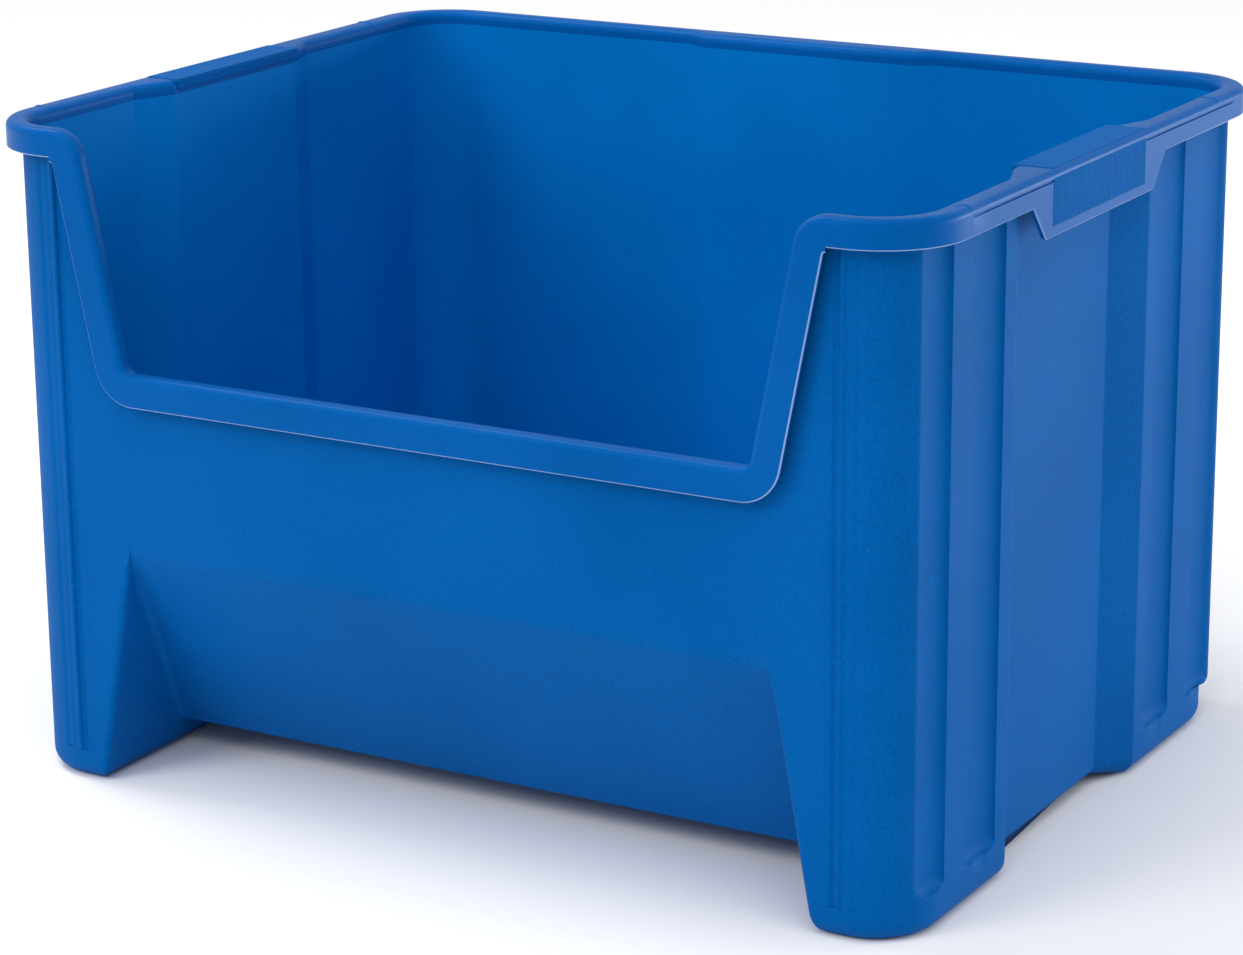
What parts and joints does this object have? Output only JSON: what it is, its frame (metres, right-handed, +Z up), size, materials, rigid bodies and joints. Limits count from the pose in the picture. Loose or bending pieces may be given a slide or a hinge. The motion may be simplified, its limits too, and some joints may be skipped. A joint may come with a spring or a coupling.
{
  "type": "stackable storage bin",
  "caption": "Blue moulded stacking storage bin with a low hopper front, rolled rim, fluted sides, recessed end panels and side grips.",
  "frame": {"origin": "centre of the footprint on the ground, under the feet", "axes": "+Z up, +Y towards the closed back wall (the hopper opening faces -Y), X along the width"},
  "size_m": [0.505, 0.395, 0.331],
  "materials": {
    "body_blue": "fine matt moulding grain, satin inside",
    "rim_blue": "smooth satin",
    "textured_blue": "matt with fine upright ribs"
  },
  "bodies": {
    "root": {"back_rim": "rim_blue", "back_wall": "body_blue", "floor_panel": "body_blue", "front_wall": "body_blue", "left_bead": "body_blue", "left_front_column": "body_blue", "left_front_corner_rim": "rim_blue", "left_front_foot": "body_blue", "left_front_rim": "rim_blue", "left_grip": "textured_blue", "left_leg_front": "body_blue", "left_lip_corner": "rim_blue", "left_lip_shoulder": "rim_blue", "left_lip_side": "rim_blue", "left_rear_column": "body_blue", "left_rear_corner_rim": "rim_blue", "left_rear_foot": "body_blue", "left_rear_rim": "rim_blue", "left_recess_cheek": "body_blue", "left_runner": "body_blue", "left_side_panel": "body_blue", "left_stacking_pad": "textured_blue", "left_toe": "body_blue", "lower_lip": "rim_blue", "recess_panel": "body_blue", "right_bead": "body_blue", "right_front_column": "body_blue", "right_front_corner_rim": "rim_blue", "right_front_foot": "body_blue", "right_front_rim": "rim_blue", "right_grip": "textured_blue", "right_leg_front": "body_blue", "right_lip_corner": "rim_blue", "right_lip_shoulder": "rim_blue", "right_lip_side": "rim_blue", "right_rear_column": "body_blue", "right_rear_corner_rim": "rim_blue", "right_rear_foot": "body_blue", "right_rear_rim": "rim_blue", "right_recess_cheek": "body_blue", "right_runner": "body_blue", "right_side_panel": "body_blue", "right_stacking_pad": "textured_blue", "right_toe": "body_blue"}
  },
  "joints": []
}
